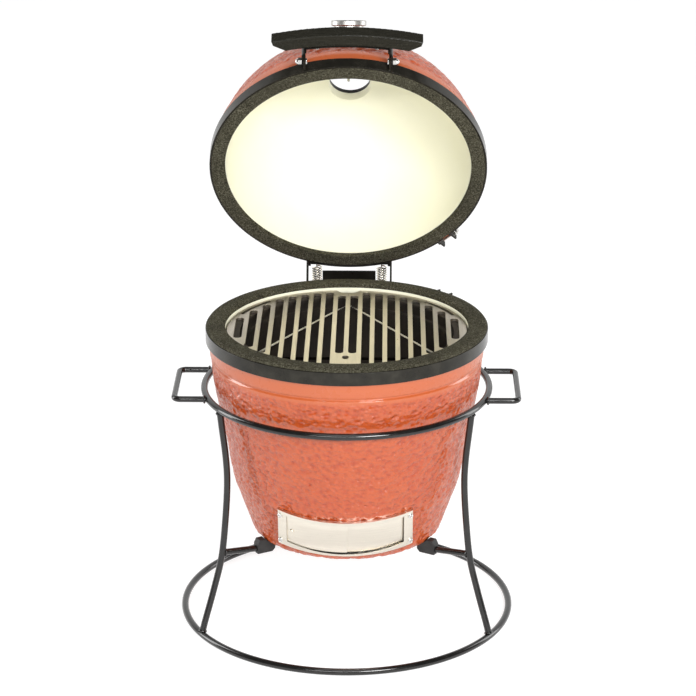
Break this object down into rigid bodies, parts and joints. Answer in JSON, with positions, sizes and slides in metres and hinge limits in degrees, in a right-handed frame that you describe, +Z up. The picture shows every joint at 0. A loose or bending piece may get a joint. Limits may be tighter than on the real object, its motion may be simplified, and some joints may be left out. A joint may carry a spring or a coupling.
{
  "type": "kettle charcoal grill",
  "caption": "Small ceramic kettle charcoal grill on a rod stand, with hinged domed lid, cooking grate, sliding draft door and top vent.",
  "frame": {"origin": "on the floor under the centre of the bowl and the base ring", "axes": "+Z up, front with the draft door toward -Y, +X to the right seen from the front"},
  "size_m": [0.4986, 0.5941, 0.8606],
  "materials": {
    "stand_paint": "semi-gloss black powder coat on steel rod",
    "bumper_rubber": "matt black rubber",
    "glazed_shell": "glossy red dimpled glaze outside, cream glaze inside",
    "felt": "speckled charcoal felt",
    "band_steel": "satin black coated steel band",
    "hinge_steel": "satin black coated steel plate",
    "bright_hardware": "bright zinc and stainless fasteners and wire",
    "spring_wire": "nickel-plated spring wire",
    "fire_clay": "heat-resistant ceramic, blackened by fire",
    "cast_iron": "raw cast iron, sooted",
    "grate_steel": "brushed stainless plate",
    "draft_steel": "bright brushed stainless sheet",
    "handle_board": "dark satin composite board",
    "thermometer_steel": "polished stainless steel",
    "dial_face": "white dial with plain tick marks",
    "needle_paint": "red painted needle",
    "dial_glass": "clear flat lens",
    "vent_casting": "black coated casting",
    "knob_plastic": "black heat-resistant plastic"
  },
  "bodies": {
    "grill": {"base_ring": "stand_paint", "upper_ring": "stand_paint", "leg_front_left": "stand_paint", "leg_front_right": "stand_paint", "leg_rear": "stand_paint", "strut_front_left": "stand_paint", "strut_front_right": "stand_paint", "strut_rear": "stand_paint", "carry_handle_left": "stand_paint", "carry_handle_right": "stand_paint", "bumper_front_left": "bumper_rubber", "bumper_front_right": "bumper_rubber", "bumper_rear": "bumper_rubber", "ceramic_bowl": "glazed_shell", "bowl_gasket": "felt", "bowl_band": "band_steel", "hinge_base": "hinge_steel", "wire_rack": "bright_hardware", "bowl_band_bolt": "bright_hardware", "hinge_bolts": "bright_hardware", "hinge_nuts": "bright_hardware", "draft_screws": "bright_hardware", "hinge_spring_left": "spring_wire", "hinge_spring_right": "spring_wire", "firebox": "fire_clay", "fire_ring": "fire_clay", "charcoal_grate": "cast_iron", "draft_frame": "draft_steel", "draft_fixed_panel": "draft_steel"},
    "lid": {"ceramic_dome": "glazed_shell", "dome_gasket": "felt", "dome_band": "band_steel", "dome_band_bolt": "bright_hardware", "hinge_lid_bracket": "hinge_steel", "lift_handle": "handle_board", "handle_bracket": "hinge_steel", "handle_bolts": "bright_hardware", "handle_screws": "bright_hardware", "handle_nuts": "bright_hardware", "thermometer_body": "thermometer_steel", "thermometer_bezel": "thermometer_steel", "thermometer_dial": "dial_face", "thermometer_needle": "needle_paint", "thermometer_glass": "dial_glass", "thermometer_probe": "thermometer_steel", "thermometer_nut": "bright_hardware", "vent_base": "vent_casting", "vent_pivot": "vent_casting"},
    "vent": {"vent_disc": "vent_casting", "vent_knob": "knob_plastic"},
    "draft_door": {"draft_door": "draft_steel"},
    "cooking_grate": {"cooking_grate": "grate_steel"}
  },
  "joints": [
    {"name": "lid_hinge", "type": "hinge", "parent": "grill", "child": "lid", "pos_m": [0, 0.2231, 0.4183], "axis": [1, 0, 0], "range_deg": [0, 61.5], "deforming": ["hinge_spring_left", "hinge_spring_right"]},
    {"name": "vent_swing", "type": "hinge", "parent": "lid", "child": "vent", "pos_m": [-0.031, 0.34112, 0.6859], "axis": [0, 0.8793, 0.4762], "range_deg": [0, 90]},
    {"name": "draft_slide", "type": "hinge", "parent": "grill", "child": "draft_door", "pos_m": [0, 0.00971, 0.22279], "axis": [0, -0.335, 0.9422], "range_deg": [0, 28.5]},
    {"name": "grate_lift", "type": "slide", "parent": "grill", "child": "cooking_grate", "axis": [0, 0, 1], "range_m": [0, 0.045]}
  ]
}
